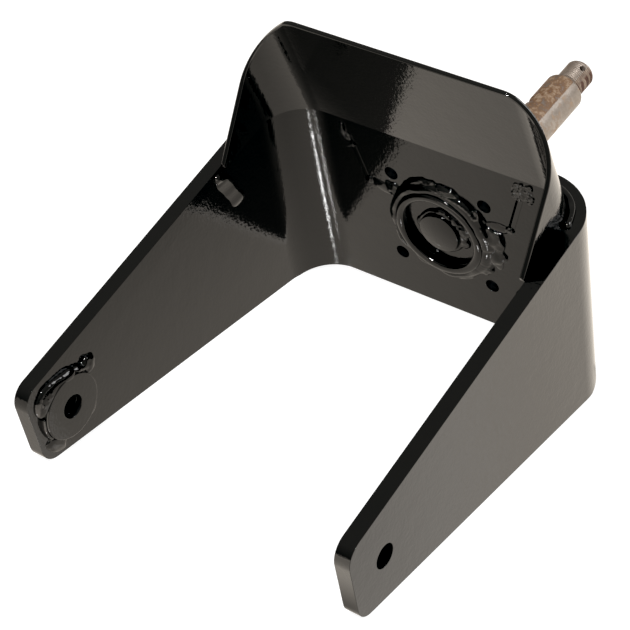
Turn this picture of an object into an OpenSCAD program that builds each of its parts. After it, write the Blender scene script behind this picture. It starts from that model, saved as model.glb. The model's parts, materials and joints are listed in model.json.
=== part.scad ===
// Wheel fork: a bent steel yoke with a swivel spindle, a deflector guard and axle bosses.
// Millimetres. The fork is drawn in its own plane (spindle along +Y, web height along Z),
// then tilted so that it lies on the lower edges of its two arms, on the plane z = 0.

/* [Fork plate] */
// clear width between the two arms
inner_w = 203; // [160:1:240]
// thickness of the bent plate
plate_t = 9.5; // [6:0.5:14]
// inside radius of the two bends
bend_ri = 28; // [20:0.5:40]
// web's lower edge, measured down from the spindle axis
web_bot = 65; // [50:0.5:80]
// web's upper edge, measured up from the spindle axis
web_top = 67.5; // [50:0.5:85]
// distance from the web's inner face to the arm tips
arm_len = 248.5; // [180:0.5:320]
// arm tip's lower edge, below the spindle axis
tip_bot = 11.6; // [0:0.1:30]
// arm tip's upper edge, above the spindle axis
tip_top = 41.3; // [25:0.1:60]
// distance along the arm where the lower taper starts
taper_bot = 21.3; // [5:0.1:60]
// distance along the arm where the upper taper starts
taper_top = 30; // [5:0.1:60]
// radius of the arm tips' corners
tip_r = 12; // [2:0.5:20]

/* [Axle] */
// axle hole's distance from the web's inner face
axle_y = 221.8; // [180:0.1:300]
// axle hole's height above the spindle axis
axle_z = 12.8; // [-10:0.1:30]
// axle hole diameter
axle_d = 14.3; // [8:0.1:25]
// axle boss outside diameter
boss_d = 40.5; // [25:0.5:60]
// axle boss thickness
boss_t = 4.3; // [2:0.1:12]

/* [Spindle] */
// spindle's main diameter
spin_d = 25.4; // [19:0.1:25.9]
// diameter of the seat that goes through the web
seat_d = 27; // [26:0.1:42]
// diameter of the turned end
stub_d = 18.8; // [10:0.1:30]
// how far the spindle stands out inside the web
spin_in = 4; // [0:0.5:10]
// shoulder's distance from the web's inner face
shoulder_y = 142.5; // [90:0.5:220]
// tip's distance from the web's inner face
spin_len = 163; // [110:0.5:260]
// chamfer at the shoulder
shoulder_c = 2; // [0.5:0.1:4]
// chamfer at the tip
tip_c = 1.2; // [0.5:0.1:3]
// cross hole's distance from the web's inner face
cross_y = 157; // [100:0.5:250]
// cross hole's diameter
cross_d = 4; // [2:0.1:8]
// cross hole's angle from the web's height, towards +X
cross_a = 30; // [0:1:90]
// centre of the locking notch along the spindle
notch_y = 116; // [60:0.5:150]
// width of the locking notch
notch_w = 7; // [3:0.5:15]
// depth of the locking notch
notch_h = 1.7; // [0.5:0.1:4]

/* [Web details] */
// outside diameter of the ring around the spindle
ring_od = 60; // [45:0.5:80]
// inside diameter of that ring
ring_id = 49; // [30:0.5:60]
// height of the ring off the web
ring_h = 5.6; // [2:0.1:10]
// bolt hole spacing, the same both ways
bolt_s = 64; // [40:0.5:80]
// bolt hole diameter
bolt_d = 9; // [5:0.1:14]
// width of each rib slot
slot_w = 4.3; // [3:0.1:8]
// length of each rib slot
slot_l = 32; // [15:0.5:45]
// slot centre's distance from the middle
slot_x = 53.8; // [40:0.1:80]
// slot centre's height above the spindle axis
slot_z = 36.5; // [10:0.1:50]
// lean of each slot
slot_a = 16.4; // [0:0.1:30]
// rib thickness
rib_t = 3; // [2:0.1:6]
// how far each rib stands out behind the web
rib_out = 24; // [10:0.5:40]

/* [Guard] */
// guard sheet thickness
guard_t = 3; // [1.5:0.1:5]
// forward lean of the guard
guard_lean = 14.1; // [0:0.1:25]
// height of the guard's web along its lean
guard_h = 81.1; // [40:0.1:110]
// half length of the straight top edge, along the sheet
guard_s1 = 67; // [30:0.1:90]
// radius of the guard's top corners
guard_rc = 14.2; // [5:0.1:40]
// slope of the guard's free edges
guard_a = 39.2; // [20:0.1:60]
// half length of the sheet from its middle to a wing's end
guard_s2 = 154.9; // [120:0.1:190]
// how far the guard's lower edge laps below the fork's upper edge
guard_lap = 0.8; // [0:0.1:5]

/* [Hidden] */
$fn = 72;
e = 0.01;
hw = inner_w/2;
bend_ro = bend_ri + plate_t;
bc = hw - bend_ri;
slope_b = (web_bot - tip_bot)/(arm_len - taper_bot);
slope_t = (web_top - tip_top)/(arm_len - taper_top);
tilt = atan(slope_b);
floor_z = (web_bot + slope_b*taper_bot)*cos(tilt);
ang_t = atan(slope_t);
ang_b = atan(slope_b);
// height of the arm's lower and upper lines at the corner centres
cy = -arm_len + tip_r;
czt = web_top - slope_t*(-cy - taper_top) - tip_r/cos(ang_t);
czb = -web_bot + slope_b*(-cy - taper_bot) + tip_r/cos(ang_b);
y_lo = cy*cos(tilt) - czt*sin(tilt) - tip_r;
y_hi = spin_len*cos(tilt) + (stub_d/2 - tip_c)*sin(tilt);
y_off = -(y_lo + y_hi)/2;

// guard sheet: outer face half width, bend radius and its lower back corner
gw = hw - 0.2;
gr = bend_ri - 0.2;
gc = gw - gr;
gy = -0.15;
gz = web_top - 0.5;
gbend = gr*PI/2;

function top_z(y) = (y > -taper_top) ? web_top : web_top + slope_t*(y + taper_top);
function arc(c, r, a0, a1, n) =
    [for (i = [0:n]) [c[0] + r*cos(a0 + (a1 - a0)*i/n), c[1] + r*sin(a0 + (a1 - a0)*i/n)]];

// from the fork's own plane to the plane it lies on
module place() {
    translate([0, y_off, floor_z]) rotate([tilt, 0, 0]) children();
}

// a shape drawn around +Z at the origin is turned to stand on the web's inner face
module on_web(x, z) {
    translate([x, 0, z]) rotate([90, 0, 0]) children();
}

// a shape drawn around +Z is turned to stand on the inner face of one arm; side is -1 or 1
module on_arm(side, y, z) {
    translate([side*hw, y, z]) rotate([0, -side*90, 0]) children();
}

module paint() {
    color([0.045, 0.043, 0.042]) children();
}

module u_band(ro, ri, x, y) {
    // flat U outline, open towards -Y: outer corner radius ro, plate thickness ro - ri
    t = ro - ri;
    difference() {
        union() {
            translate([-x, -arm_len]) square([2*x, arm_len + y - ro]);
            translate([-(x - ro), y - ro - e]) square([2*(x - ro), ro + e]);
            translate([x - ro, y - ro]) circle(r = ro, $fn = 144);
            translate([-(x - ro), y - ro]) circle(r = ro, $fn = 144);
        }
        translate([-(x - t), -arm_len - 1]) square([2*(x - t), arm_len + 1 + y - ro]);
        translate([-(x - ro), y - ro - 1]) square([2*(x - ro), ri + 1]);
        translate([x - ro, y - ro]) circle(r = ri, $fn = 144);
        translate([-(x - ro), y - ro]) circle(r = ri, $fn = 144);
    }
}

module side_outline() {
    // side view of the fork: x of the polygon is fork Y, y of the polygon is fork Z
    polygon(concat(
        [[plate_t + 5, web_top], [-taper_top, web_top]],
        arc([cy, czt], tip_r, 90 + ang_t, 180, 14),
        arc([cy, czb], tip_r, 180, 270 - ang_b, 14),
        [[-taper_bot, -web_bot], [plate_t + 5, -web_bot]]));
}

module fork_plate() {
    paint() place() difference() {
        intersection() {
            translate([0, 0, -web_bot - 5])
                linear_extrude(web_bot + web_top + 10)
                    u_band(bend_ro, bend_ri, hw + plate_t, plate_t);
            translate([-hw - plate_t - 5, 0, 0]) rotate([90, 0, 90])
                linear_extrude(inner_w + 2*plate_t + 10) side_outline();
        }
        translate([-hw - plate_t - 1, -axle_y, axle_z]) rotate([0, 90, 0])
            cylinder(d = axle_d, h = inner_w + 2*plate_t + 2);
        translate([0, -1, 0]) rotate([-90, 0, 0]) cylinder(d = seat_d, h = plate_t + 2);
        for (sx = [-1, 1], sz = [-1, 1])
            translate([sx*bolt_s/2, -1, sz*bolt_s/2]) rotate([-90, 0, 0])
                cylinder(d = bolt_d, h = plate_t + 2);
        for (s = [-1, 1])
            translate([s*slot_x, plate_t/2, slot_z]) rotate([0, s*slot_a, 0])
                cube([slot_w, plate_t + 2, slot_l], center = true);
    }
}

module spindle() {
    color([0.52, 0.46, 0.41]) place() difference() {
        rotate([-90, 0, 0]) rotate_extrude($fn = 96) polygon([
            [0, -spin_in], [seat_d/2 - 0.8, -spin_in], [seat_d/2, -spin_in + 0.8],
            [seat_d/2, plate_t], [spin_d/2, plate_t], [spin_d/2, shoulder_y - shoulder_c],
            [spin_d/2 - shoulder_c, shoulder_y],
            [stub_d/2, shoulder_y], [stub_d/2, spin_len - tip_c],
            [stub_d/2 - tip_c, spin_len], [0, spin_len]]);
        translate([0, cross_y, 0]) rotate([0, cross_a, 0]) translate([0, 0, -stub_d])
            cylinder(d = cross_d, h = 2*stub_d, $fn = 32);
        rotate([0, cross_a - 90, 0])
            translate([-20, notch_y - notch_w/2, spin_d/2 - notch_h]) cube([40, notch_w, 10]);
    }
}

module hub_ring() {
    paint() place() on_web(0, 0) rotate_extrude($fn = 96) polygon([
        [ring_id/2, 0], [ring_od/2, 0], [ring_od/2, ring_h - 1.2], [ring_od/2 - 1.2, ring_h],
        [ring_id/2 + 0.8, ring_h], [ring_id/2, ring_h - 0.8]]);
}

// round fillet: outer leg lo along the face, leg h up the wall, drawn from radius r outwards
module fillet_ring(r, lo, h, a0, a1) {
    rotate([0, 0, a0]) rotate_extrude(angle = a1 - a0, $fn = 96) polygon([
        [r, 0], [r + lo, 0], [r + lo*0.92, h*0.22], [r + lo*0.72, h*0.52],
        [r + lo*0.42, h*0.8], [r, h]]);
}

module hub_weld_outer() {
    paint() place() on_web(0, 0) rotate_extrude($fn = 96) polygon([
        [ring_od/2, 0], [ring_od/2 + 7.5, 0], [ring_od/2 + 7, 1.2], [ring_od/2 + 5, 2.8],
        [ring_od/2 + 2.5, 3.9], [ring_od/2, 4.3]]);
}

module hub_weld_inner() {
    paint() place() on_web(0, 0) rotate_extrude($fn = 96) polygon([
        [seat_d/2, 0], [seat_d/2 + 6, 0], [seat_d/2 + 4.6, 0.9], [seat_d/2 + 2.4, 1.9],
        [seat_d/2, 2.9]]);
}

// guard sheet ---------------------------------------------------------------------------
// outer face of the sheet at length s from the middle, off millimetres towards the inside
function g_xv(s, off) =
    let (a = abs(s), sg = s < 0 ? -1 : 1)
    a <= gc ? [s, -off] :
    a <= gc + gbend ?
        let (th = (a - gc)/gr*180/PI)
        [sg*(gc + (gr - off)*sin(th)), -gr + (gr - off)*cos(th)] :
        [sg*(gw - off), -gr - (a - gc - gbend)];
function g_3d(s, w, off) =
    let (p = g_xv(s, off))
    [p[0], gy + p[1]*cos(guard_lean) - w*sin(guard_lean),
        gz + w*cos(guard_lean) + p[1]*sin(guard_lean)];
// lower edge: follows the fork's upper edge, guard_lap below it
function g_low(s) =
    let (v = g_xv(s, 0)[1], y0 = gy + v*cos(guard_lean),
        w0 = (top_z(y0) - guard_lap - gz - v*sin(guard_lean))/cos(guard_lean),
        y1 = y0 - w0*sin(guard_lean))
    max(0, (top_z(y1) - guard_lap - gz - v*sin(guard_lean))/cos(guard_lean));
// upper edge: straight, corner arc, then the sloping free edge
g_sa = guard_s1 + guard_rc*sin(guard_a);
g_ha = guard_h - guard_rc*(1 - cos(guard_a));
function g_top(s) =
    let (a = abs(s))
    a <= guard_s1 ? guard_h :
    a <= g_sa ? guard_h - guard_rc + sqrt(guard_rc*guard_rc - pow(a - guard_s1, 2)) :
        g_ha - (a - g_sa)*tan(guard_a);
g_end = g_sa + (g_ha - g_low(guard_s2) - 2.5)/tan(guard_a);
g_half = concat([0, 30, 50, 60, guard_s1], [for (i = [1:5]) guard_s1 + (g_sa - guard_s1)*i/5],
    [for (i = [1:16]) g_sa + (gc + gbend - g_sa)*i/16],
    [for (i = [1:5]) gc + gbend + (g_end - gc - gbend)*i/5]);
g_n = len(g_half);
g_s = concat([for (i = [g_n - 1:-1:1]) -g_half[i]], g_half);
g_m = len(g_s);

module guard_plate() {
    pts = [for (s = g_s) each [g_3d(s, g_low(s), 0), g_3d(s, g_top(s), 0),
        g_3d(s, g_top(s), guard_t), g_3d(s, g_low(s), guard_t)]];
    sides = [for (i = [0:g_m - 2], j = [0:3])
        let (k = (j + 1)%4) each [[4*i + j, 4*i + k, 4*i + 4 + j],
            [4*i + k, 4*i + 4 + k, 4*i + 4 + j]]];
    ends = [[0, 3, 2], [0, 2, 1],
        [4*g_m - 4, 4*g_m - 3, 4*g_m - 2], [4*g_m - 4, 4*g_m - 2, 4*g_m - 1]];
    paint() place() polyhedron(points = pts, faces = concat(sides, ends), convexity = 6);
}

// seam beads on the fork's upper edge, behind the guard
seam_l = 5.2;
seam_h = 4.6;
module seam_arc(side) {
    mirror([side < 0 ? 1 : 0, 0, 0]) translate([bc, -bend_ri, web_top])
        fillet_ring(bend_ri + 0.1, seam_l, seam_h, 4, 78);
}

module seam_weld_left() {
    paint() place() seam_arc(-1);
}

module seam_weld_right() {
    paint() place() seam_arc(1);
}

module seam_weld_middle() {
    paint() place() translate([-22, 0.05, web_top]) rotate([90, 0, 90])
        linear_extrude(44) polygon([[0, 0], [seam_l, 0], [seam_l*0.72, seam_h*0.52],
            [seam_l*0.42, seam_h*0.8], [0, seam_h]]);
}

// rounded bead lying on a face: length l, cap radius r, standing h off the face, along +X
module bead(l, r, h) {
    difference() {
        translate([0, 0, h - r]) {
            translate([-l/2 + r*0.7, 0, 0]) rotate([0, 90, 0])
                cylinder(r = r, h = l - r*1.4, $fn = 32);
            translate([-l/2 + r*0.7, 0, 0]) sphere(r = r, $fn = 32);
            translate([l/2 - r*0.7, 0, 0]) sphere(r = r, $fn = 32);
        }
        translate([-l, -2*r, -3*r]) cube([2*l, 4*r, 3*r]);
    }
}

// bead on an arm's inner face below each end of the guard
foot_y = -63.5;
foot_z = 42;
module foot(side) {
    mirror([side < 0 ? 1 : 0, 0, 0]) on_arm(1, foot_y, foot_z)
        rotate([0, 0, -24.5]) bead(35, 6.4, 2.8);
}

module foot_weld_left() {
    paint() place() foot(-1);
}

module foot_weld_right() {
    paint() place() foot(1);
}

// rib behind the web: its tab fills the slot and ends flush with the web's inner face
module rib(side) {
    mirror([side < 0 ? 1 : 0, 0, 0]) translate([slot_x, 0, slot_z]) rotate([0, slot_a, 0])
        translate([slot_w/2 - rib_t, 0, 0]) rotate([90, 0, 90]) linear_extrude(rib_t) polygon([
            [0, -slot_l/2], [plate_t, -slot_l/2], [plate_t, -slot_l/2 - 5],
            [plate_t + rib_out*0.45, -slot_l/2 - 5], [plate_t + rib_out, -slot_l/2 + 8],
            [plate_t + rib_out, slot_l/2 - 10], [plate_t + rib_out*0.6, slot_l/2 + 3],
            [plate_t, slot_l/2 + 3], [plate_t, slot_l/2], [0, slot_l/2]]);
}

module rib_left() {
    paint() place() rib(-1);
}

module rib_right() {
    paint() place() rib(1);
}

// tack on the web's inner face at one end of a slot; up is 1 or -1
module tack(side, up, l, r, h) {
    mirror([side < 0 ? 1 : 0, 0, 0]) on_web(slot_x + up*sin(slot_a)*(slot_l/2 + 1),
        slot_z + up*cos(slot_a)*(slot_l/2 + 1)) bead(l, r, h);
}

module tack_left_upper() {
    paint() place() tack(-1, 1, 11, 4.4, 2.2);
}

module tack_left_lower() {
    paint() place() tack(-1, -1, 9, 3.8, 1.8);
}

module tack_right_upper() {
    paint() place() tack(1, 1, 15, 5, 2.4);
}

module tack_right_lower() {
    paint() place() tack(1, -1, 9, 3.8, 1.8);
}

module axle_boss(side) {
    paint() place() mirror([side < 0 ? 1 : 0, 0, 0]) on_arm(1, -axle_y, axle_z) difference() {
        rotate_extrude($fn = 96) polygon([[0, 0], [boss_d/2, 0], [boss_d/2, boss_t - 0.6],
            [boss_d/2 - 0.6, boss_t], [0, boss_t]]);
        translate([0, 0, -1]) cylinder(d = axle_d, h = boss_t + 2);
    }
}

module axle_boss_left() {
    axle_boss(-1);
}

module axle_boss_right() {
    axle_boss(1);
}

// fillet bead around an axle boss, from angle a0 to a1 counted from +Y towards +Z
module boss_bead(side, a0, a1, l, h) {
    paint() place() mirror([side < 0 ? 1 : 0, 0, 0]) translate([hw, -axle_y, axle_z])
        rotate([90, 0, -90]) mirror([1, 0, 0]) fillet_ring(boss_d/2, l, h, a0, a1);
}

module boss_weld_left_front() {
    boss_bead(-1, 86, 158, 7.5, 4);
}

module boss_weld_left_top() {
    boss_bead(-1, 28, 60, 10, 4);
}

module boss_weld_left_back() {
    boss_bead(-1, -72, -30, 6, 3.2);
}

module boss_weld_left_low() {
    boss_bead(-1, -158, -108, 8, 3.6);
}

module boss_weld_right_front() {
    boss_bead(1, 86, 158, 7.5, 4);
}

module boss_weld_right_top() {
    boss_bead(1, 28, 60, 10, 4);
}

module boss_weld_right_back() {
    boss_bead(1, -72, -30, 6, 3.2);
}

module boss_weld_right_low() {
    boss_bead(1, -158, -108, 8, 3.6);
}

fork_plate();
spindle();
hub_ring();
hub_weld_outer();
hub_weld_inner();
guard_plate();
seam_weld_left();
seam_weld_right();
seam_weld_middle();
foot_weld_left();
foot_weld_right();
rib_left();
rib_right();
tack_left_upper();
tack_left_lower();
tack_right_upper();
tack_right_lower();
axle_boss_left();
axle_boss_right();
boss_weld_left_front();
boss_weld_left_top();
boss_weld_left_back();
boss_weld_left_low();
boss_weld_right_front();
boss_weld_right_top();
boss_weld_right_back();
boss_weld_right_low();
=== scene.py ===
"""Looks of the wheel fork: gloss-black welded yoke with a bare, lightly rusted swivel spindle.

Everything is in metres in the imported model's frame. The fork's own plane (web inner face at
y = 0, spindle along +Y, web height along Z) is recovered from the record's mounts.
"""
import json
import math
import random

import bmesh
import bpy
from mathutils import Matrix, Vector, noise
from mathutils import Vector as V


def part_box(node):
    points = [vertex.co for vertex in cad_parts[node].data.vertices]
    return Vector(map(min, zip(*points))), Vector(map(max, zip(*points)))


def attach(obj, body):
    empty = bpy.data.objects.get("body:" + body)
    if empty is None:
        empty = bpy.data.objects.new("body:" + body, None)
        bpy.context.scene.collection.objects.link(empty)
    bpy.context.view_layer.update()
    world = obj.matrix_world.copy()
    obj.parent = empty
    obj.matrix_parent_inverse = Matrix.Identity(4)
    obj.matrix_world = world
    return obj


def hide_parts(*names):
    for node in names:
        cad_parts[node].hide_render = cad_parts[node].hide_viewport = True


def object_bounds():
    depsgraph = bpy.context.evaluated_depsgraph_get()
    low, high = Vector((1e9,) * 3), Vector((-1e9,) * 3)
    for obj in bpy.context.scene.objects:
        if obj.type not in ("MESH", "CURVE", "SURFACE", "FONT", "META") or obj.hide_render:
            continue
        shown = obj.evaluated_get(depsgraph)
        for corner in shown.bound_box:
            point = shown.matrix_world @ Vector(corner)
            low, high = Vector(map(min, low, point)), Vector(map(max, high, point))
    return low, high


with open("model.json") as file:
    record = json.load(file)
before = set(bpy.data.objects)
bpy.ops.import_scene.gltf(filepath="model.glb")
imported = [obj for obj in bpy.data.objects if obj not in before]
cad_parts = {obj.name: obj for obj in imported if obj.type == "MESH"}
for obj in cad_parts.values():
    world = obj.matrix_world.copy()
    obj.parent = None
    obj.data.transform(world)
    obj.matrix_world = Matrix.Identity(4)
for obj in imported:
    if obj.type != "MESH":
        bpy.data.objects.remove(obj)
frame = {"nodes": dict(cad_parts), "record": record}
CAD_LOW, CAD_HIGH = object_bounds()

MM = 0.001
X, Y, Z = V((1, 0, 0)), V((0, 1, 0)), V((0, 0, 1))
SIDES = (("left", -1), ("right", 1))
NODES = frame["nodes"]
MOUNTS = {m["name"]: m for m in frame["record"]["mounts"]}

# ---------------------------------------------------------------- the fork's own plane
WEB = V(MOUNTS["web_bolts"]["pos_m"])
FORK_Y = -V(MOUNTS["web_bolts"]["axis"]).normalized()
FORK_Z = X.cross(FORK_Y)
TO_ROW = Matrix((
    (X.x, FORK_Y.x, FORK_Z.x, WEB.x),
    (X.y, FORK_Y.y, FORK_Z.y, WEB.y),
    (X.z, FORK_Y.z, FORK_Z.z, WEB.z),
    (0, 0, 0, 1)))
TO_FORK = TO_ROW.inverted()


def to_row(point):
    """The row frame's place, in metres, of a point in millimetres in the fork's own plane."""
    return TO_ROW @ (point * MM)


def to_fork(point):
    """The place in millimetres in the fork's own plane of a point in the row frame."""
    return TO_FORK @ point / MM


# ---------------------------------------------------------------- dimensions, in millimetres
# read from the frame
GUARD_GAP = 0.2                                         # between the guard and the arm
HALF_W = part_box("guard_plate")[1].x / MM + GUARD_GAP    # arm's inner face from the middle
PLATE_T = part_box("fork_plate")[1].x / MM - HALF_W
RING_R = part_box("hub_ring")[1].x / MM
BOSS_R = (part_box("axle_boss_left")[1].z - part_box("axle_boss_left")[0].z) / MM / 2
AXLE_R = MOUNTS["axle_bore_left"]["dims"]["r_mm"]
AXLE = to_fork(V(MOUNTS["axle_bore_left"]["pos_m"]))
SPINDLE_R = MOUNTS["spindle_journal"]["dims"]["r_mm"]
STUB_R = MOUNTS["spindle_end"]["dims"]["r_mm"]
STUB_LEN = MOUNTS["spindle_end"]["dims"]["length_mm"]
TIP_CHAMFER = 1.2
STUB_END = to_fork(V(MOUNTS["spindle_end"]["pos_m"])).y + STUB_LEN / 2
SPINDLE_END = STUB_END + TIP_CHAMFER
SHOULDER = STUB_END - STUB_LEN

# the part's own, where the frame doesn't state them
STAND_IN = 4.0                      # spindle's inner end, past the web's inner face
SEAT_R = 13.5                       # spindle's seat in the web
RING_WALL, RING_HIGH = 5.5, 5.6
BEND_R = 28.0                       # plate's inner bend radius
WEB_TOP, TAPER_START, ARM_LEN, TIP_TOP = 67.5, 30.0, 248.5, 41.3
TAPER = (WEB_TOP - TIP_TOP) / (ARM_LEN - TAPER_START)
GUARD_FOOT = -74.0                  # how far the guard's wings reach along the arms
SLOT_X, SLOT_Z, SLOT_LEAN = 53.8, 36.5, math.radians(16.4)
SLOT_W, SLOT_L, RIB_T = 4.3, 32.0, 3.0
GROOVE = {-1: 0.0, 1: 1.8}          # depth left open beside the left and the right rib; an open groove's floor is painted dark as the gap's shade
PAINTED_HIGHLIGHT_TURN = math.radians(39)        # turn round the spindle, from the web's height towards +X, where the painted highlight runs along it and the painted lit and shaded halves meet


def top_edge(y):
    """Height of the fork plate's upper edge at y, in the fork's own plane."""
    return WEB_TOP + TAPER * min(0, y + TAPER_START)


# ---------------------------------------------------------------- node helpers
class Nodes:
    """Short way to wire a node tree."""

    def __init__(self, tree):
        self.tree = tree

    def add(self, kind, **inputs):
        node = self.tree.nodes.new(kind)
        for key, value in inputs.items():
            if key.startswith("_"):
                setattr(node, key[1:], value)
            else:
                node.inputs[key.replace("__", " ")].default_value = value
        return node

    def link(self, a, b):
        self.tree.links.new(a, b)

    def texture(self, kind, place, **inputs):
        """A texture node that reads its place from a socket."""
        node = self.add(kind, **inputs)
        self.link(place, node.inputs["Vector"])
        return node

    def relief(self, height, strength, distance, under=None):
        """The normal of a bumpy surface, on top of another normal where one is given."""
        node = self.add("ShaderNodeBump", Strength=strength, Distance=distance)
        self.link(height, node.inputs["Height"])
        if under is not None:
            self.link(under, node.inputs["Normal"])
        return node.outputs["Normal"]

    def by_ray(self, for_camera, for_rest):
        """One shader for what the camera sees itself, another for reflections and light."""
        node = self.add("ShaderNodeMixShader")
        self.link(self.add("ShaderNodeLightPath").outputs["Is Camera Ray"], node.inputs["Fac"])
        self.link(for_rest, node.inputs[1])
        self.link(for_camera, node.inputs[2])
        return node.outputs[0]

    def sum(self, a, b):
        node = self.add("ShaderNodeAddShader")
        self.link(a, node.inputs[0])
        self.link(b, node.inputs[1])
        return node.outputs[0]

    def ramp(self, source, stops):
        node = self.tree.nodes.new("ShaderNodeValToRGB")
        elements = node.color_ramp.elements
        while len(elements) < len(stops):
            elements.new(0.5)
        for element, (place, colour) in zip(elements, stops):
            element.position = place
            element.color = (*colour, 1)
        self.link(source, node.inputs["Fac"])
        return node.outputs["Color"]

    def spread(self, source, low, high, to_low=0.0, to_high=1.0):
        node = self.add("ShaderNodeMapRange")
        for key, value in zip(("From Min", "From Max", "To Min", "To Max"),
                              (low, high, to_low, to_high)):
            node.inputs[key].default_value = value
        self.link(source, node.inputs["Value"])
        return node.outputs["Result"]

    def maths(self, operation, a, b=None):
        node = self.add("ShaderNodeMath", _operation=operation)
        for socket, value in zip(node.inputs, (a, b)):
            if value is None:
                continue
            if isinstance(value, (int, float)):
                socket.default_value = value
            else:
                self.link(value, socket)
        return node.outputs["Value"]

    def mix_value(self, factor, a, b):
        node = self.add("ShaderNodeMix", _data_type="FLOAT")
        for socket, value in zip((node.inputs[0], node.inputs[2], node.inputs[3]), (factor, a, b)):
            self.link(value, socket)
        return node.outputs[0]

    def mix(self, factor, a, b):
        node = self.add("ShaderNodeMix", _data_type="RGBA")
        self.link(factor, node.inputs["Factor"])
        for socket, value in ((node.inputs[6], a), (node.inputs[7], b)):
            if isinstance(value, tuple):
                socket.default_value = (*value, 1)
            else:
                self.link(value, socket)
        return node.outputs[2]


def new_material(name):
    """(Nodes, principled shader, object coordinates, material) of a fresh material."""
    mat = bpy.data.materials.new(name)
    mat.use_nodes = True
    mat.node_tree.nodes.clear()
    tree = Nodes(mat.node_tree)
    out = tree.add("ShaderNodeOutputMaterial")
    shader = tree.add("ShaderNodeBsdfPrincipled")
    tree.link(shader.outputs["BSDF"], out.inputs["Surface"])
    place = tree.add("ShaderNodeTexCoord").outputs["Object"]
    return tree, shader, place, mat


# ---------------------------------------------------------------- materials
def gloss_paint(name, peel=0.14, flow=0.22, rough=(0.05, 0.10), ior=1.52):
    """Thick gloss-black coat: orange peel, slow waviness, faint dust and gloss changes."""
    tree, shader, place, mat = new_material(name)
    shader.inputs["IOR"].default_value = ior
    shader.inputs["Specular IOR Level"].default_value = 0.5
    mottle = tree.texture("ShaderNodeTexNoise", place, Scale=38, Detail=4, Roughness=0.6)
    tone = tree.ramp(mottle.outputs["Fac"], [
        (0.3, (0.0003, 0.0004, 0.0002)), (0.7, (0.0009, 0.0009, 0.0006))])
    specks = tree.texture("ShaderNodeTexVoronoi", place, Scale=420, Randomness=1)
    speck = tree.spread(specks.outputs["Distance"], 0.05, 0.02)
    rare = tree.texture("ShaderNodeTexNoise", place, Scale=160, Detail=2)
    few = tree.spread(rare.outputs["Fac"], 0.62, 0.7)
    dust = tree.maths("MULTIPLY", tree.maths("MULTIPLY", speck, few), 0.35)
    tree.link(tree.mix(dust, tone, (0.02, 0.018, 0.015)), shader.inputs["Base Color"])
    gloss = tree.texture("ShaderNodeTexNoise", place, Scale=22, Detail=5, Roughness=0.55)
    tree.link(tree.spread(gloss.outputs["Fac"], 0.3, 0.7, *rough), shader.inputs["Roughness"])
    orange = tree.texture("ShaderNodeTexNoise", place, Scale=500, Detail=2, Roughness=0.5)
    slow = tree.texture("ShaderNodeTexNoise", place, Scale=95, Detail=1, Roughness=0.4)
    fine = tree.relief(orange.outputs["Fac"], peel, 0.0006)
    tree.link(tree.relief(slow.outputs["Fac"], flow, 0.0004, fine), shader.inputs["Normal"])
    return mat


def thin_paint():
    """Thin, dry overspray inside the drilled holes, with the drill's marks under it; the same dark
    coat is the painted shade on the floor of the right slot's groove.
    """
    tree, shader, place, mat = new_material("bore_overspray_and_groove_shade")
    grain = tree.texture("ShaderNodeTexNoise", place, Scale=900, Detail=6, Roughness=0.7)
    tree.link(tree.ramp(grain.outputs["Fac"], [
        (0.35, (0.001, 0.001, 0.001)), (0.7, (0.006, 0.005, 0.004))]), shader.inputs["Base Color"])
    tree.link(tree.spread(grain.outputs["Fac"], 0.3, 0.7, 0.5, 0.75), shader.inputs["Roughness"])
    shader.inputs["Specular IOR Level"].default_value = 0.08
    tree.link(tree.relief(grain.outputs["Fac"], 0.5, 0.0004), shader.inputs["Normal"])
    return mat


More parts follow.
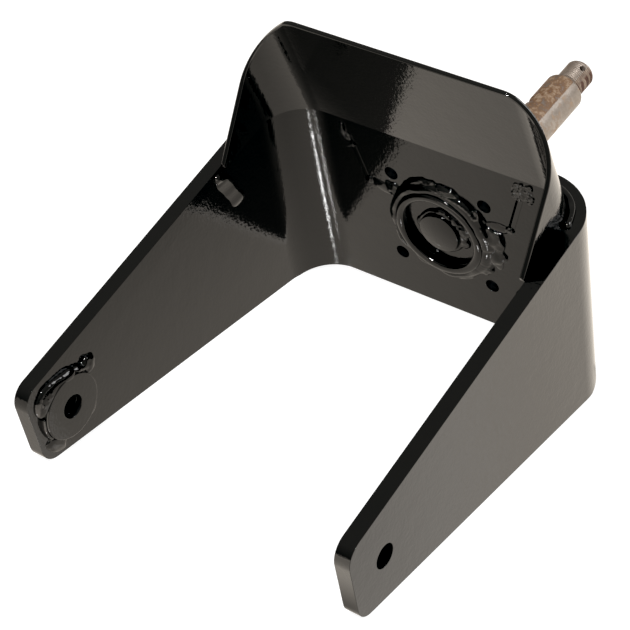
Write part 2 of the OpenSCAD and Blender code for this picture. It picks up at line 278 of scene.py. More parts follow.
def spindle_steel():
    """Bare turned steel: brown rust film on one side, brighter steel on the other; the split by
    side is partly rust and partly painted shade and painted light, with a painted highlight line
    between them.
    """
    tree, shader, place, mat = new_material("spindle_steel")
    axis = tree.add("ShaderNodeMapping", _vector_type="TEXTURE")
    axis.inputs["Location"].default_value = WEB
    axis.inputs["Rotation"].default_value = TO_ROW.to_euler()
    tree.link(place, axis.inputs["Vector"])
    own = axis.outputs["Vector"]
    split = tree.add("ShaderNodeSeparateXYZ")
    tree.link(own, split.inputs["Vector"])
    patches = tree.texture("ShaderNodeTexNoise", own, Scale=210, Detail=8, Roughness=0.68)
    broad = tree.texture("ShaderNodeTexNoise", own, Scale=52, Detail=4, Roughness=0.6)
    # turn round the axis, from the web's height towards +X; the painted highlight line runs along
    # the spindle
    turn = tree.maths("ARCTAN2", split.outputs["X"], split.outputs["Z"])
    from_line = tree.maths("SUBTRACT", turn, PAINTED_HIGHLIGHT_TURN)
    # one side brown and the other bright steel: partly rust, partly painted shade on one half and
    # painted light on the other
    rust_and_shade_side = tree.spread(from_line, 0.02, -0.05)
    painted_highlight = tree.spread(tree.maths("ABSOLUTE", from_line), 0.055, 0.02)
    on_stub = tree.spread(split.outputs["Y"], (SHOULDER - 0.6) * MM, SHOULDER * MM)
    rust_and_shade_base = tree.maths("ADD", tree.spread(rust_and_shade_side, 0, 1, 0.30, 0.92), tree.maths(
        "MULTIPLY", tree.maths("SUBTRACT", broad.outputs["Fac"], 0.5), 1.3))
    rust_and_shade = tree.spread(tree.maths("ADD", rust_and_shade_base, tree.maths(
        "MULTIPLY", tree.maths("SUBTRACT", patches.outputs["Fac"], 0.5), 3.2)), 0.3, 0.9)
    bands = tree.texture("ShaderNodeTexWave", own, Scale=58, Distortion=3, Detail=3,
                         Detail__Scale=2.5, _wave_type="BANDS", _bands_direction="Y")
    thread_rust_and_shade = tree.maths("MULTIPLY", tree.spread(bands.outputs["Fac"], 0.15, 0.42),
                             tree.spread(from_line, 0.15, 0.45))
    calm = tree.spread(rust_and_shade_side, 0, 1, 0.5, 0.22)
    rust_and_shade = tree.mix_value(on_stub, rust_and_shade, tree.maths("MAXIMUM", thread_rust_and_shade, calm))
    # along the painted highlight line the rust gives way to bare steel: a painted highlight
    rust_and_shade = tree.maths("MULTIPLY", rust_and_shade, tree.spread(painted_highlight, 0, 1, 1, 0.12))
    film = tree.ramp(patches.outputs["Fac"], [
        (0.38, (0.09, 0.034, 0.011)), (0.5, (0.17, 0.09, 0.043)), (0.62, (0.31, 0.225, 0.155))])
    deep = tree.ramp(patches.outputs["Fac"], [
        (0.3, (0.045, 0.02, 0.014)), (0.7, (0.15, 0.075, 0.05))])
    brown = tree.mix(tree.maths("MULTIPLY", on_stub, thread_rust_and_shade), film, deep)
    steel = tree.ramp(broad.outputs["Fac"], [
        (0.34, (0.17, 0.14, 0.115)), (0.66, (0.34, 0.30, 0.265))])
    tree.link(tree.mix(rust_and_shade, steel, brown), shader.inputs["Base Color"])
    tree.link(tree.spread(rust_and_shade, 0, 1, 0.4, 0.1), shader.inputs["Metallic"])
    tree.link(tree.spread(rust_and_shade, 0, 1, 0.38, 0.66), shader.inputs["Roughness"])
    turning = tree.texture("ShaderNodeTexWave", own, Scale=900, Distortion=1.5, Detail=2,
                           _wave_type="BANDS", _bands_direction="Y")
    lines = tree.relief(turning.outputs["Fac"], 0.12, 0.0002)
    tree.link(tree.relief(patches.outputs["Fac"], 0.35, 0.0005, lines), shader.inputs["Normal"])
    return mat


FORK_PAINT = gloss_paint("fork_paint")
GUARD_PAINT = gloss_paint("guard_paint", peel=0.12, rough=(0.05, 0.09), ior=1.58)
BOSS_PAINT = gloss_paint("boss_paint", peel=0.12)
HUB_PAINT = gloss_paint("hub_paint", peel=0.12, flow=0.3)
RIB_PAINT = gloss_paint("rib_paint", peel=0.08)
WELD_PAINT = gloss_paint("weld_paint", peel=0.12, flow=0.25, rough=(0.04, 0.08))
BORE_PAINT_AND_GROOVE_SHADE = thin_paint()
STEEL = spindle_steel()


# ---------------------------------------------------------------- mesh helpers
def finish_piece(obj, mat, slot, *nodes):
    """Gives a new piece its material and body and hides the CAD nodes that it stands for; slot is
    not used.
    """
    obj.data.materials.clear()
    obj.data.materials.append(mat)
    if obj.name not in bpy.context.scene.collection.objects:
        bpy.context.scene.collection.objects.link(obj)
    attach(obj, "root")
    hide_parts(*nodes)
    return obj


SHARP = math.radians(32)            # edges that bend more than this are rounded


def mesh_object(name, bm):
    """A smooth object made of a bmesh, which is used up."""
    mesh = bpy.data.meshes.new(name)
    bm.normal_update()
    bm.to_mesh(mesh)
    bm.free()
    mesh.shade_smooth()
    return bpy.data.objects.new(name, mesh)


def bake(obj):
    """The object's mesh with its modifiers applied for good."""
    graph = bpy.context.evaluated_depsgraph_get()
    mesh = bpy.data.meshes.new_from_object(obj.evaluated_get(graph))
    obj.modifiers.clear()
    obj.data = mesh
    return mesh


def softened(node, name, mat, slot, width, segments=3, keep=None):
    """The CAD node's own shape with its edges rounded; those that keep(place) picks stay crisp."""
    bm = bmesh.new()
    bm.from_mesh(NODES[node].data)
    bmesh.ops.remove_doubles(bm, verts=bm.verts, dist=2e-6)
    bmesh.ops.dissolve_limit(bm, angle_limit=math.radians(0.4), verts=bm.verts,
                             edges=bm.edges, use_dissolve_boundaries=False)
    bm.normal_update()
    sharp = [e for e in bm.edges
             if len(e.link_faces) == 2 and e.calc_face_angle(0) > SHARP]
    if keep:
        crisp = [e for e in sharp if keep(to_fork((e.verts[0].co + e.verts[1].co) / 2))]
        sharp = [e for e in sharp if e not in crisp]
        for edge in crisp:
            edge.smooth = False
    bmesh.ops.bevel(bm, geom=sharp, offset=width * MM, offset_type="OFFSET",
                    segments=segments, profile=0.5, affect="EDGES", clamp_overlap=True,
                    miter_outer="ARC")
    bmesh.ops.triangulate(bm, faces=[f for f in bm.faces if len(f.verts) > 4])
    obj = mesh_object(name, bm)
    finish_piece(obj, mat, slot, node)
    paint_bores(obj)
    weighted = obj.modifiers.new("weighted", "WEIGHTED_NORMAL")
    weighted.weight = 100
    weighted.keep_sharp = True
    return obj


def paint_bores(obj):
    """The walls of the bolt and axle holes take the thin overspray."""
    obj.data.materials.append(BORE_PAINT_AND_GROOVE_SHADE)
    spacing = MOUNTS["web_bolts"]["dims"]["pcd_mm"] / math.sqrt(8)
    bolt_r = MOUNTS["web_bolts"]["dims"]["hole_r_mm"]
    for face in obj.data.polygons:
        c = to_fork(face.center)
        n = TO_FORK.to_3x3() @ face.normal
        near_bolt = math.hypot(abs(c.x) - spacing, abs(c.z) - spacing) < bolt_r + 0.15
        near_axle = math.hypot(c.y - AXLE.y, c.z - AXLE.z) < AXLE_R + 0.15
        if (near_bolt and abs(n.y) < 0.5) or (near_axle and abs(n.x) < 0.5):
            face.material_index = 1


def lathe(name, profile, steps=128):
    """Closed solid turned round the fork's Y axis from (radius, y) points, in millimetres."""
    bm = bmesh.new()
    rings = []
    for radius, y in profile:
        if radius < 1e-6:
            rings.append([bm.verts.new(to_row(Y * y))])
            continue
        rings.append([bm.verts.new(to_row(V((radius * math.cos(2 * math.pi * i / steps), y,
                                             radius * math.sin(2 * math.pi * i / steps)))))
                      for i in range(steps)])
    for a, b in zip(rings, rings[1:] + ([] if len(rings[0]) == 1 else [rings[0]])):
        for i in range(steps):
            j = (i + 1) % steps
            corners = [a[i % len(a)], a[j % len(a)], b[j % len(b)], b[i % len(b)]]
            bm.faces.new(list(dict.fromkeys(corners)))
    bmesh.ops.recalc_face_normals(bm, faces=bm.faces)
    return mesh_object(name, bm)


def wobble(t, seed, rate):
    """Smooth value between about -1 and 1 that drifts along t."""
    return noise.noise(V((t * rate, seed * 7.31, 0.37 * seed))) * 1.6


def bump(angle, centre, reach):
    """1 at the centre angle, falling smoothly to 0 at reach degrees away."""
    gap = abs((angle - centre + 180) % 360 - 180) / reach
    return 0.5 + 0.5 * math.cos(math.pi * gap) if gap < 1 else 0.0


RUN_STEP, RUN_AROUND = 0.7, 20      # a bead's step along its route, and points round its section
RIPPLE_STEP = 2.1                   # distance between a bead's ripples


def weld_run(bm, route, width, height, seed, ripple=0.05, closed=False, square=1.0):
    """One weld bead: an elliptical rope along route, half sunk in the steel.

    route(t) gives (centre, along, up) in millimetres in the fork's plane for t from 0 to 1;
    width and height are the ellipse's half axes, or functions of t; a square under 1 makes
    the section boxier."""
    half_w = width if callable(width) else lambda t: width
    half_h = height if callable(height) else lambda t: height
    samples = [route(i / 60)[0] for i in range(61)]
    length = sum((b - a).length for a, b in zip(samples, samples[1:]))
    count = max(12, round(length / RUN_STEP))
    rows = []
    for i in range(count if closed else count + 1):
        t = i / count
        centre, along, up = route(t)
        across = along.cross(up).normalized()
        run = t * length
        scale = (run / RIPPLE_STEP + wobble(run, seed + 3, 0.2) * 0.3) % 1.0
        wave = 1 + ripple * (scale ** 1.6 - 0.4)
        a = half_w(t) * (1 + 0.20 * wobble(run, seed, 0.09)) * wave
        b = half_h(t) * (1 + 0.22 * wobble(run, seed + 11, 0.12)) * wave
        if not closed:
            reach = min(run, length - run) / max(a, 0.1)
            cap = math.sqrt(max(0.0, 1 - (1 - min(1.0, reach)) ** 2))
            a, b = max(a * cap, 0.02), max(b * cap, 0.02)
        drift = across * wobble(run, seed + 5, 0.09) * 0.5
        row = []
        for k in range(RUN_AROUND):
            turn = 2 * math.pi * k / RUN_AROUND
            flat, tall = math.cos(turn), math.sin(turn)
            flat = math.copysign(abs(flat) ** square, flat)
            tall = math.copysign(abs(tall) ** square, tall)
            place = centre + drift + across * a * flat + up * b * tall
            row.append(bm.verts.new(to_row(place)))
        rows.append(row)
    pairs = list(zip(rows, rows[1:])) + ([(rows[-1], rows[0])] if closed else [])
    for row, after in pairs:
        for k in range(RUN_AROUND):
            m = (k + 1) % RUN_AROUND
            bm.faces.new((row[k], row[m], after[m], after[k]))
    if not closed:
        bm.faces.new(rows[0][::-1])
        bm.faces.new(rows[-1])


def weld_blob(bm, centre, along, up, size, seed, uneven):
    """A rounded lump of weld metal: half axes size = (along, across, up), in millimetres."""
    across = along.cross(up).normalized()
    made = bmesh.ops.create_icosphere(bm, subdivisions=4, radius=1.0)
    for v in made["verts"]:
        n = v.co.normalized()
        swell = 1 + uneven * noise.noise(n * 1.7 + V((seed, seed * 0.7, 1)))
        local = along * n.x * size[0] + across * n.y * size[1] + up * n.z * size[2]
        v.co = to_row(centre + local * swell)


def fused(name, bm, node, voxel=0.45, smooth=10):
    """Runs and blobs melted into one closed bead, with its joints flowed out."""
    bmesh.ops.recalc_face_normals(bm, faces=bm.faces)
    obj = mesh_object(name, bm)
    bpy.context.scene.collection.objects.link(obj)
    melt = obj.modifiers.new("melt", "REMESH")
    melt.mode = "VOXEL"
    melt.voxel_size = voxel * MM
    flow = obj.modifiers.new("flow", "SMOOTH")
    flow.factor = 0.5
    flow.iterations = smooth
    bake(obj).shade_smooth()
    finish_piece(obj, WELD_PAINT, "weld_paint", node)


def round_axis(angle, first, second):
    """Unit vectors outward and forward at an angle, in degrees, from first towards second."""
    a = math.radians(angle)
    return first * math.cos(a) + second * math.sin(a), second * math.cos(a) - first * math.sin(a)


def ring_route(radius, y):
    """Full turn round the spindle on the web's inner face, from +X towards +Z."""
    def route(t):
        out, along = round_axis(360 * t, X, Z)
        return out * radius + Y * y, along, -Y
    return route


def boss_route(side, radius, height, start, sweep):
    """Route round an axle boss on the arm's inner face; angles from +Y towards +Z."""
    def route(t):
        out, along = round_axis(start + sweep * t, Y, Z)
        return V((side * (HALF_W - height), AXLE.y, AXLE.z)) + out * radius, along, X * -side
    return route


def line_route(a, b, up):
    """Straight route from a to b."""
    along = (b - a).normalized()
    return lambda t: (a.lerp(b, t), along, up)


def fill_slot(rib, side):
    """Paint that closes the slot beside the rib; on the right a groove is left open, its fill in
    the dark overspray as painted shade of the gap.
    """
    lean = Matrix.Rotation(side * SLOT_LEAN, 4, "Y")
    place = TO_ROW @ Matrix.Translation(V((side * SLOT_X, 0, SLOT_Z)) * MM) @ lean
    bm = bmesh.new()
    bm.from_mesh(rib.data)
    made = bmesh.ops.create_cube(bm, size=1)
    for v in made["verts"]:
        x = -SLOT_W / 2 if v.co.x < 0 else SLOT_W / 2 - RIB_T
        y = GROOVE[side] if v.co.y < 0 else PLATE_T - 1.0
        v.co = place @ (V((side * x, y, v.co.z * SLOT_L)) * MM)
    # the right groove's fill takes the dark bore coat: painted shade of the open gap
    for face in {f for v in made["verts"] for f in v.link_faces}:
        face.material_index = 1 if GROOVE[side] else 0
    bmesh.ops.recalc_face_normals(bm, faces=bm.faces)
    bm.to_mesh(rib.data)
    bm.free()


# ---------------------------------------------------------------- plates, ribs, bosses, ring
def welded_over(c):
    """Edges of the fork plate that stay crisp: the slots, and the lap under the guard."""
    in_slot = abs(abs(c.x) - SLOT_X) < 9 and abs(c.z - SLOT_Z) < SLOT_L * 0.6
    on_top = c.z > top_edge(c.y) - 0.6
    return in_slot or (on_top and GUARD_FOOT < c.y < 1 and abs(c.x) < HALF_W + 1)


def under_guard(c):
    """The guard's lower edge, which stays crisp where it meets the fork plate."""
    return c.z < top_edge(c.y) + 1.5


def true_bends(obj):
    """Exact round normals on the two bends' walls; the rest keeps its weighted normals."""
    mesh = bake(obj)
    normals = [corner.vector.copy() for corner in mesh.corner_normals]
    for face in mesh.polygons:
        c = to_fork(face.center)
        n = TO_FORK.to_3x3() @ face.normal
        in_bend = abs(c.x) > HALF_W - BEND_R - 0.01 and c.y > -BEND_R - 0.01
        if not in_bend or abs(n.z) > 0.02 or face.material_index:
            continue
        axis = V((math.copysign(HALF_W - BEND_R, c.x), -BEND_R, 0))
        for loop in face.loop_indices:
            at = to_fork(mesh.vertices[mesh.loops[loop].vertex_index].co)
            out = V((at.x - axis.x, at.y - axis.y, 0)).normalized()
            sign = 1 if out.dot(n) > 0 else -1
            normals[loop] = TO_ROW.to_3x3() @ (out * sign)
    mesh.normals_split_custom_set(normals)


fork_body = softened("fork_plate", "fork_body", FORK_PAINT, "fork_paint", width=1.1,
                     segments=4, keep=welded_over)
true_bends(fork_body)
softened("guard_plate", "guard_sheet", GUARD_PAINT, "guard_paint", width=1.0, keep=under_guard)
for hand, side in SIDES:
    rib = softened(f"rib_{hand}", f"rib_{hand}_body", RIB_PAINT, "rib_paint", width=0.3)
    fill_slot(rib, side)
    softened(f"axle_boss_{hand}", f"axle_boss_{hand}_body", BOSS_PAINT, "boss_paint", width=0.5)


def hub_ring():
    """Ring with a rolled crest; its profile is closed under the web's surface."""
    inner, crest_r = RING_R - RING_WALL, 1.6
    crest = [(inner + RING_WALL * (0.5 - 0.5 * math.cos(math.radians(a))),
              crest_r * (1 - math.sin(math.radians(a))) - RING_HIGH) for a in range(0, 181, 15)]
    finish_piece(lathe("hub_ring_body", [(inner, 1.5)] + crest + [(RING_R, 1.5)]),
                 HUB_PAINT, "hub_paint", "hub_ring")


hub_ring()


# ---------------------------------------------------------------- spindle
NOTCH_Y, NOTCH_TURN = 116, math.radians(-60)    # the locking notch's place and direction


def spindle():
    """Turned spindle: soft chamfers, a threaded end, a cross hole and a locking notch."""
    pitch, depth = 1.5, 0.5
    profile = [(0, -STAND_IN), (SEAT_R - 1.0, -STAND_IN), (SEAT_R - 0.3, -STAND_IN + 0.3),
               (SEAT_R, -STAND_IN + 1.0), (SEAT_R, PLATE_T), (SPINDLE_R, PLATE_T)]
    y = PLATE_T + 2
    while y < SHOULDER - 4:
        profile.append((SPINDLE_R + 0.03 * noise.noise(V((y * 0.21, 3, 1))), y))
        y += 2.5
    profile += [(SPINDLE_R, SHOULDER - 2.2), (SPINDLE_R - 0.35, SHOULDER - 1.3),
                (SPINDLE_R - 1.9, SHOULDER), (STUB_R + 0.1, SHOULDER),
                (STUB_R - 0.8, SHOULDER + 0.5), (STUB_R - 0.8, SHOULDER + 2.0)]
    y = SHOULDER + 2.4
    while y < SPINDLE_END - 2.2:
        profile += [(STUB_R, y + 0.12), (STUB_R, y + 0.42), (STUB_R - depth, y + 0.85),
                    (STUB_R - depth, y + 1.05)]
        y += pitch
    profile += [(STUB_R - 0.5, SPINDLE_END - 1.6), (STUB_R - 1.5, SPINDLE_END - 0.4),
                (STUB_R - 2.0, SPINDLE_END), (0, SPINDLE_END)]
    obj = lathe("spindle_body", profile)
    bpy.context.scene.collection.objects.link(obj)
    hole = MOUNTS["cotter_hole"]
    bpy.ops.mesh.primitive_cylinder_add(
        vertices=48, radius=hole["dims"]["r_mm"] * MM, depth=0.06, location=hole["pos_m"])
    drill = bpy.context.object
    drill.rotation_mode = "QUATERNION"
    drill.rotation_quaternion = V(hole["axis"]).to_track_quat("Z", "Y")
    bpy.ops.mesh.primitive_cube_add(size=1)
    cutter = bpy.context.object
    cutter.matrix_world = (TO_ROW @ Matrix.Rotation(NOTCH_TURN, 4, "Y")
                           @ Matrix.Translation(V((0, NOTCH_Y, SPINDLE_R + 3.3)) * MM)
                           @ Matrix.Diagonal(V((40, 7, 10, 1000)) * MM))
    for tool in (drill, cutter):
        cut = obj.modifiers.new("cut", "BOOLEAN")
        cut.object = tool
        cut.operation = "DIFFERENCE"
        cut.solver = "EXACT"
    mesh = bake(obj)
    for tool in (drill, cutter):
        bpy.data.objects.remove(tool)
    mesh.shade_smooth()
    mesh.set_sharp_from_angle(angle=math.radians(38))
    finish_piece(obj, STEEL, "spindle_steel", "spindle")
    mesh.materials.append(HUB_PAINT)
    for face in mesh.polygons:
        if to_fork(face.center).y < PLATE_T * 0.7:
            face.material_index = 1


spindle()


# ---------------------------------------------------------------- weld beads
def hub_welds():
    """The beads outside and inside the ring: a full turn each, with lumps at (angle, reach)."""
    def outer_width(t):
        a = 360 * t
        return 4.2 + 1.6 * bump(a, 20, 60) + 1.2 * bump(a, 130, 45) - 1.4 * bump(a, 235, 70)

    def add_lumps(bm, radius, sunk, places):
        for angle, reach, size in places:
            out, along = round_axis(angle, X, Z)
            weld_blob(bm, out * (radius + reach) + Y * sunk, along, -Y, size, angle, uneven=0.3)

    bm = bmesh.new()
    weld_run(bm, ring_route(RING_R + 1.2, -0.2), outer_width, 3.9, seed=1, closed=True)
    add_lumps(bm, RING_R, 0.3, (
        (14, 8.5, (9, 7.5, 3.6)), (-8, 8.5, (9, 6.5, 2.9)), (-32, 5.0, (7, 4.5, 2.6)),
        (36, 4.4, (7, 4.4, 3.4)), (148, 6.5, (5, 7.5, 3.0)), (112, 4.2, (12, 4.2, 3.2)),
        (78, 3.8, (10, 3.8, 3.4)), (-70, 3.6, (12, 3.6, 2.4))))
    fused("hub_weld_outer_bead", bm, "hub_weld_outer", smooth=16)
    bm = bmesh.new()
    weld_run(bm, ring_route(SEAT_R + 0.6, 0), 2.0, 1.9, seed=4, closed=True)
    add_lumps(bm, SEAT_R, 0, (
        (18, 3.6, (5, 4.4, 2.6)), (48, 3.4, (5, 3.8, 2.8)), (-12, 3.0, (4.6, 3.6, 2.2)),
        (84, 1.8, (5, 2.4, 2.4)), (172, 1.4, (4, 2.2, 2.2))))
    fused("hub_weld_inner_bead", bm, "hub_weld_inner", smooth=12)


def boss_welds():
    """Four beads round each axle boss: a high front one, two domes and a thin back one."""
    for hand, side in SIDES:
        def lump(bm, angle, reach, size, seed, side=side):
            out, along = round_axis(angle, Y, Z)
            centre = V((side * HALF_W, AXLE.y, AXLE.z)) + out * (BOSS_R + reach)
            weld_blob(bm, centre, along, X * -side, size, seed, uneven=0.2)

        bm = bmesh.new()
        start, sweep = 56, 104
        weld_run(bm, boss_route(side, BOSS_R - 0.8, 0, start, sweep),
                 lambda t: 4.0 + 5.0 * bump(start + sweep * t, 136, 60), 4.0, seed=20 + side,
                 ripple=0.03)
        for angle, reach in ((116, 2.4), (121, 0.8), (126, 2.8), (131, 1.0), (137, 3.4)):
            lump(bm, angle, reach, (1.3, 1.1, 4.2), angle)
        fused(f"boss_weld_{hand}_front_bead", bm, f"boss_weld_{hand}_front", smooth=14)
        bm = bmesh.new()
        lump(bm, 32, 4.2, (5.8, 6.2, 3.9), 24)
        lump(bm, 50, 0.4, (6.0, 3.2, 4.0), 25)
        fused(f"boss_weld_{hand}_top_bead", bm, f"boss_weld_{hand}_top", smooth=14)
        bm = bmesh.new()
        weld_run(bm, boss_route(side, BOSS_R + 0.4, 0.2, -86, 66),
                 lambda t: 1.0 + 2.0 * math.sin(math.pi * t) ** 2, 3.0, seed=26 + side)
        fused(f"boss_weld_{hand}_back_bead", bm, f"boss_weld_{hand}_back", smooth=9)
        bm = bmesh.new()
        weld_run(bm, boss_route(side, BOSS_R + 0.6, 0.2, -202, 52),
                 lambda t: 1.0 + 0.5 * t, 3.2, seed=28 + side)
        lump(bm, -132, 3.4, (9.4, 5.0, 1.9), 29)
        fused(f"boss_weld_{hand}_low_bead", bm, f"boss_weld_{hand}_low", smooth=12)


def foot_welds():
    """Beads on the arms under the guard's wings, leaning towards the arms' tips."""
    for hand, side in SIDES:
        inward = X * -side
        low = V((side * (HALF_W + 0.6), -57.4, 27.0))
        high = V((side * (HALF_W + 0.6), -70.6, 57.0))
        bm = bmesh.new()
        weld_run(bm, line_route(low, high, (inward - Y * 0.36).normalized()), 5.5, 2.4,
                 seed=41 + side, ripple=0.02, square=0.6)
        weld_blob(bm, high + inward * 0.4, Z, inward, (3.6, 3.4, 2.8), 44, uneven=0.2)
        fused(f"foot_weld_{hand}_bead", bm, f"foot_weld_{hand}", smooth=16)


def spattered_tack(bm, x, z, rng, reach=6.4):
    """Small beads of spatter scattered round (x, z), over a flat pad of weld metal."""
    weld_blob(bm, V((x, 0.4, z + 0.6)), X, -Y, (7.8, 7.2, 1.1), 62, uneven=0.2)
    for _ in range(36):
        at = V((x + rng.uniform(-reach, reach), 0, z + rng.uniform(-reach, reach)))
        size = (rng.uniform(0.9, 1.8), rng.uniform(0.9, 1.6), rng.uniform(0.4, 0.8))
        weld_blob(bm, at - Y * 0.4, X, -Y, size, rng.random(), uneven=0.3)


def loose_tack(bm, places):
    """A broken-up tack: separate lumps at (x, z) with half axes size."""
    for x, z, size in places:
        weld_blob(bm, V((x, 0, z)), X, -Y, size, 61 + x, uneven=0.3)


def tack_welds():
    """Tacks at the slots' ends; each lower one has a finger that runs to the ring's weld."""
    for hand, side in SIDES:
        bm = bmesh.new()
        if side > 0:
            spattered_tack(bm, 59.4, 54.0, random.Random(61 + side))
        else:
            loose_tack(bm, ((-63.4, 54.7, (2.8, 5.4, 1.7)), (-57.0, 45.6, (1.7, 2.0, 1.7)),
                            (-60.4, 50.0, (2.4, 3.0, 0.9)), (-60.4, 42.6, (0.9, 0.9, 0.8))))
        fused(f"tack_{hand}_upper_bead", bm, f"tack_{hand}_upper", voxel=0.3, smooth=3)
        bm = bmesh.new()
        tack, ring = V((side * 47.0, 0.5, 20.4)), V((side * 33.5, 0.5, 17.6))
        weld_blob(bm, tack.lerp(ring, 0.55), (ring - tack).normalized(), -Y, (10.6, 4.4, 1.6),
                  66 + side, uneven=0.1)
        weld_blob(bm, V((side * 48.6, 0, 20.6)), X, -Y, (3.0, 2.6, 1.7), 67 + side, uneven=0.3)
        fused(f"tack_{hand}_lower_bead", bm, f"tack_{hand}_lower", voxel=0.3, smooth=12)


def seam_welds():
    """Beads behind the guard: one round each bend and a straight one in the middle."""
    for hand, side in SIDES:
        def route(t, side=side):
            out, along = round_axis(4 + 74 * t, X * side, Y)
            axis = V((side * (HALF_W - BEND_R), -BEND_R, WEB_TOP))
            return axis + out * (BEND_R + 1.6), along, Z
        bm = bmesh.new()
        weld_run(bm, route, 2.4, 2.6, seed=80 + side, ripple=0.02)
        fused(f"seam_weld_{hand}_bead", bm, f"seam_weld_{hand}")
    bm = bmesh.new()
    left_end, right_end = V((-22, 1.8, WEB_TOP)), V((22, 1.8, WEB_TOP))
    weld_run(bm, line_route(left_end, right_end, Z), 2.6, 2.8, seed=90)
    fused("seam_weld_middle_bead", bm, "seam_weld_middle")


hub_welds()
boss_welds()
foot_welds()
tack_welds()
seam_welds()


# ---------------------------------------------------------------- floor, light and camera
TABLE_COLOUR = (1, 0.91, 0.80, 1)
TABLE_LEVEL, TABLE_FRONT = 0.74, 2.0        # between the arms, and in front of their tips
TABLE_BESIDE, TABLE_BEHIND = 0.924, 1.452   # outside the arms at their tips, and behind the web
TABLE_LEFT, TABLE_RIGHT = 1.25, 0.95        # factors from the left arm to the middle
ROOM_COLOUR = (1, 0.94, 0.85, 1)
ROOM_LOW, ROOM_HIGH = 0.13, 0.32            # the dark room at the horizon and high up
WINDOW_LEVEL = 1.3                          # pale wall low down behind the right side
WINDOW_WAY = (0.66, 0.75)                   # its direction, as (x, y)
CAMERA_BLACK = (0.0052, 0.0043, 0.0036)     # linear level that the camera already shows as black

KEY_PLACE, KEY_SIZE, KEY_POWER = V((1.3, 1.1, 1.5)), 1.0, 18
LAMP_WAY, LAMP_FAR, LAMP_SIZE, LAMP_POWER = V((0.05, -0.58, 0.81)), 1.7, 0.12, 24

CAMERA_AZIMUTH, CAMERA_HEIGHT = math.radians(36.57), math.radians(34.88)
CAMERA_ROLL = math.radians(-0.43)
CAMERA_AIM, CAMERA_FAR = V((-0.0157, -0.0606, 0.060)), 1.0806
CAMERA_LENS, CAMERA_SENSOR = 110.39, 36


def floor():
    """Light table: near white for the camera; its reflections keep their own, uneven levels."""
    bpy.ops.mesh.primitive_plane_add(size=12)
    plane = bpy.context.object
    plane.name = "studio_floor"
    mat = bpy.data.materials.new("studio_floor")
    mat.use_nodes = True
    mat.node_tree.nodes.clear()
    tree = Nodes(mat.node_tree)
    out = tree.add("ShaderNodeOutputMaterial")
    place = tree.add("ShaderNodeSeparateXYZ")
    tree.link(tree.add("ShaderNodeTexCoord").outputs["Object"], place.inputs["Vector"])
    across, along = place.outputs["X"], place.outputs["Y"]
    arm, blur = (HALF_W + PLATE_T / 2) * MM, 0.003
    behind_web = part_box("hub_ring")[1].y + 0.012
    right = tree.spread(across, arm - blur, arm + blur)
    left = tree.spread(across, -arm + blur, -arm - blur)
    back = tree.spread(along, behind_web, behind_web + 2 * blur)
    outside = tree.maths("MAXIMUM", tree.maths("MAXIMUM", right, left), back)
    front = tree.spread(along, CAD_LOW.y + 0.004, CAD_LOW.y - 0.008, TABLE_LEVEL, TABLE_FRONT)
    beside = tree.spread(along, -0.15, 0.16, TABLE_BESIDE, TABLE_BEHIND)
    between = tree.spread(across, -0.085, 0.03, TABLE_LEFT, TABLE_RIGHT)
    level = tree.mix_value(outside, tree.maths("MULTIPLY", front, between), beside)
    table = tree.add("ShaderNodeEmission", Color=TABLE_COLOUR)
    tree.link(level, table.inputs["Strength"])
    sheen = tree.add("ShaderNodeBsdfGlossy", Color=(0.05, 0.05, 0.05, 1), Roughness=0.03)
    glow = tree.add("ShaderNodeEmission", Color=(1, 1, 1, 1), Strength=0.93)
    matte = tree.add("ShaderNodeBsdfDiffuse", Color=(0.3, 0.3, 0.3, 1))
    tree.link(tree.by_ray(tree.sum(matte.outputs[0], glow.outputs[0]),
                          tree.sum(table.outputs[0], sheen.outputs[0])), out.inputs["Surface"])
    plane.data.materials.append(mat)


def area_light(name, place, aim, size, power):
    """Square white lamp at place, turned to aim and unseen by the camera."""
    data = bpy.data.lights.new(name, "AREA")
    data.shape = "RECTANGLE"
    data.size = data.size_y = size
    data.energy = power
    light = bpy.data.objects.new(name, data)
    bpy.context.scene.collection.objects.link(light)
    light.location = place
    light.rotation_mode = "QUATERNION"
    light.rotation_quaternion = (aim - place).to_track_quat("-Z", "Y")
    light.visible_camera = False


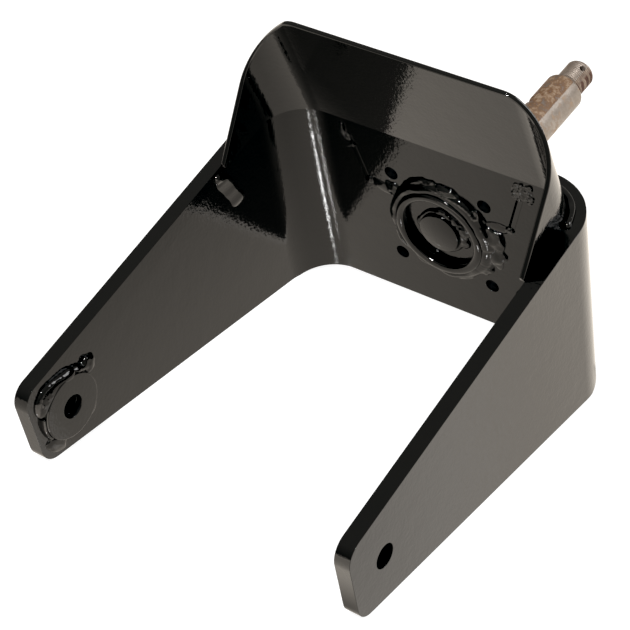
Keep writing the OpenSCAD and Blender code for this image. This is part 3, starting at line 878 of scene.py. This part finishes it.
def room():
    """Dark room with a pale patch low down behind the right side; white for the camera."""
    world = bpy.data.worlds.new("studio")
    bpy.context.scene.world = world
    world.use_nodes = True
    world.node_tree.nodes.clear()
    tree = Nodes(world.node_tree)
    out = tree.add("ShaderNodeOutputWorld")
    way = tree.add("ShaderNodeSeparateXYZ")
    tree.link(tree.add("ShaderNodeTexCoord").outputs["Generated"], way.inputs["Vector"])
    height = tree.spread(way.outputs["Z"], 0.0, 0.7, ROOM_LOW, ROOM_HIGH)
    side = tree.maths("ADD", tree.maths("MULTIPLY", way.outputs["X"], WINDOW_WAY[0]),
                      tree.maths("MULTIPLY", way.outputs["Y"], WINDOW_WAY[1]))
    low_down = tree.spread(way.outputs["Z"], 0.30, 0.10)
    window = tree.maths("MULTIPLY", low_down, tree.spread(side, 0.35, 0.9, 0.0, WINDOW_LEVEL))
    around = tree.add("ShaderNodeBackground", Color=ROOM_COLOUR)
    tree.link(tree.maths("ADD", height, window), around.inputs["Strength"])
    plain = tree.add("ShaderNodeBackground", Color=(1, 1, 1, 1), Strength=1.2)
    tree.link(tree.by_ray(plain.outputs[0], around.outputs[0]), out.inputs["Surface"])


def studio():
    """The room, a soft key light, and a small lamp that draws the stripe on the left bend."""
    room()
    area_light("key_back_right", KEY_PLACE, V((0, 0, 0)), KEY_SIZE, KEY_POWER)
    area_light("front_lamp", LAMP_WAY * LAMP_FAR, V((0, 0, 0.05)), LAMP_SIZE, LAMP_POWER)
    shown = bpy.context.scene.view_settings
    shown.view_transform = "Standard"
    shown.use_curve_mapping = True
    shown.curve_mapping.black_level = CAMERA_BLACK
    shown.curve_mapping.update()


def camera():
    """Camera at the photograph's viewing angle."""
    flat = math.cos(CAMERA_HEIGHT)
    back = V((math.sin(CAMERA_AZIMUTH) * flat, -math.cos(CAMERA_AZIMUTH) * flat,
              math.sin(CAMERA_HEIGHT)))
    data = bpy.data.cameras.new("camera")
    data.sensor_width = CAMERA_SENSOR
    data.lens = CAMERA_LENS
    cam = bpy.data.objects.new("camera", data)
    bpy.context.scene.collection.objects.link(cam)
    cam.location = CAMERA_AIM + back * CAMERA_FAR
    cam.rotation_mode = "QUATERNION"
    cam.rotation_quaternion = ((-back).to_track_quat("-Z", "Y")
                               @ Matrix.Rotation(CAMERA_ROLL, 3, "Z").to_quaternion())
    data.clip_start, data.clip_end = 0.01, 100
    bpy.context.scene.camera = cam


floor()
studio()
camera()
